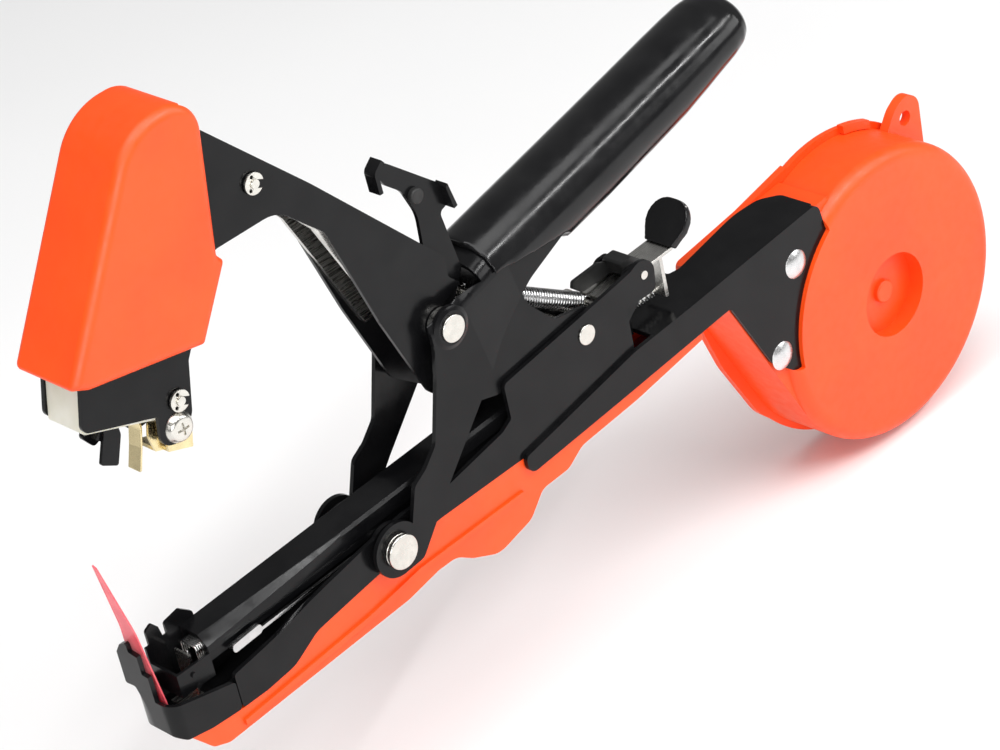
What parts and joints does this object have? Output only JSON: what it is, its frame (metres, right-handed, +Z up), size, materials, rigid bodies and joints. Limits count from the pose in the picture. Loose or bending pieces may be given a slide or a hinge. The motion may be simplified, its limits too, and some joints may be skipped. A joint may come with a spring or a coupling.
{
  "type": "plant-tying tape gun",
  "caption": "Plier-shaped stapler that pulls a band of plastic tape from a reel case round a plant stem, staples it into a loop and lets go when the grips open.",
  "frame": {"origin": "bottom centre of the bounding box, on the tool's middle plane", "axes": "+X runs along the tool from the jaws to the tape case, +Y runs across it to the case's lid side, +Z is up with the handle on top"},
  "size_m": [0.3148, 0.0284, 0.2196],
  "materials": {
    "black_paint": "satin black baked paint",
    "orange_plastic": "moulded, fine matt texture",
    "black_vinyl": "dipped vinyl, glossy",
    "black_plastic": "moulded, matt",
    "cream_plastic": "moulded, smooth",
    "grey_plastic": "moulded, smooth",
    "bare_steel": "brushed, zinc plated",
    "rivet_steel": "satin domed heads",
    "nickel": "nickel plated",
    "spring_steel": "bright drawn wire",
    "copper_wire": "copper-coloured drawn wire",
    "staple_wire": "bright galvanised wire",
    "brass": "stamped sheet",
    "tape_film": "thin translucent film",
    "rubber": "matt"
  },
  "bodies": {
    "frame": {"base_frame": "black_paint", "front_nose": "black_paint", "driver_blade": "bare_steel", "tape_guide": "orange_plastic", "rear_channel": "black_paint", "case_rivets": "rivet_steel", "reel_case": "orange_plastic", "case_hinge_pin": "bare_steel", "arm_pivot_pin": "nickel", "handle_pivot_pins": "nickel", "pivot_coils": "nickel", "magazine_pivot_pin": "nickel", "lift_spring": "spring_steel", "spring_anchor": "nickel", "return_spring": "nickel", "tape_end": "tape_film", "lead_tape": "tape_film"},
    "case_lid": {"case_lid": "orange_plastic"},
    "magazine": {"magazine": "black_paint", "magazine_cover": "black_paint", "staple_gate": "black_paint", "staple_stick": "staple_wire", "magazine_plug": "bare_steel", "pivot_sleeve": "black_plastic", "pusher_spring": "spring_steel"},
    "pusher": {"pusher_block": "black_plastic", "pusher_rod": "bare_steel", "pusher_slide": "bare_steel", "thumb_paddle": "black_vinyl", "buffer_spring": "copper_wire"},
    "clincher_arm": {"clincher_arm": "black_paint", "arm_liner": "bare_steel", "head_cover": "orange_plastic", "head_block": "cream_plastic", "clincher_plate": "brass", "brass_finger": "brass", "clincher_screw": "nickel", "clip_pins": "nickel", "e_clips": "nickel", "catch_spring": "spring_steel", "claw_pin": "bare_steel", "spring_hook_pin": "nickel"},
    "tape_claw": {"tape_claw": "black_paint"},
    "handle": {"handle_lever": "black_paint", "handle_grip": "black_vinyl", "link_pin": "nickel", "link_bushes": "bare_steel"},
    "lock_hook": {"lock_hook": "black_paint", "hook_button": "rubber"},
    "reel": {"tape_roll": "tape_film", "reel_core": "grey_plastic"}
  },
  "joints": [
    {"name": "handle_squeeze", "type": "hinge", "parent": "frame", "child": "handle", "pos_m": [-0.08227, 0, 0.0772], "axis": [0, 1, 0], "range_deg": [0, 9.5], "stiffness_Nm_per_rad": 0.4, "springref_deg": -28.65},
    {"name": "clincher_swing", "type": "hinge", "parent": "frame", "child": "clincher_arm", "pos_m": [-0.00557, 0, 0.0966], "axis": [0, -1, 0], "range_deg": [0, 21.8], "stiffness_Nm_per_rad": 0.5, "springref_deg": -34.38, "deforming": ["return_spring"]},
    {"name": "hook_swing", "type": "hinge", "parent": "handle", "child": "lock_hook", "pos_m": [-0.05027, 0, 0.1252], "axis": [0, -1, 0], "range_deg": [0, 9]},
    {"name": "claw_swing", "type": "hinge", "parent": "clincher_arm", "child": "tape_claw", "pos_m": [-0.14707, 0, 0.1586], "axis": [0, 1, 0], "range_deg": [0, 8], "stiffness_Nm_per_rad": 0.02, "springref_deg": -17.19},
    {"name": "magazine_press", "type": "hinge", "parent": "frame", "child": "magazine", "pos_m": [0.01793, 0, 0.1018], "axis": [0, -1, 0], "range_deg": [0, 2], "stiffness_Nm_per_rad": 2, "springref_deg": -17.19},
    {"name": "pusher_pull", "type": "slide", "parent": "magazine", "child": "pusher", "axis": [0.9991, 0, 0.0427], "range_m": [0, 0.025], "stiffness_N_per_m": 60, "springref_m": -0.03, "deforming": ["pusher_spring"]},
    {"name": "reel_spin", "type": "hinge", "parent": "frame", "child": "reel", "pos_m": [0.10763, 0, 0.046], "axis": [0, 1, 0], "continuous": true},
    {"name": "lid_open", "type": "hinge", "parent": "frame", "child": "case_lid", "pos_m": [0.15543, 0.0106, 0.046], "axis": [0, 0, -1], "range_deg": [0, 120]}
  ],
  "couplings": [
    {"joint": "clincher_swing", "follows": "handle_squeeze", "ratio": 2.2946}
  ]
}
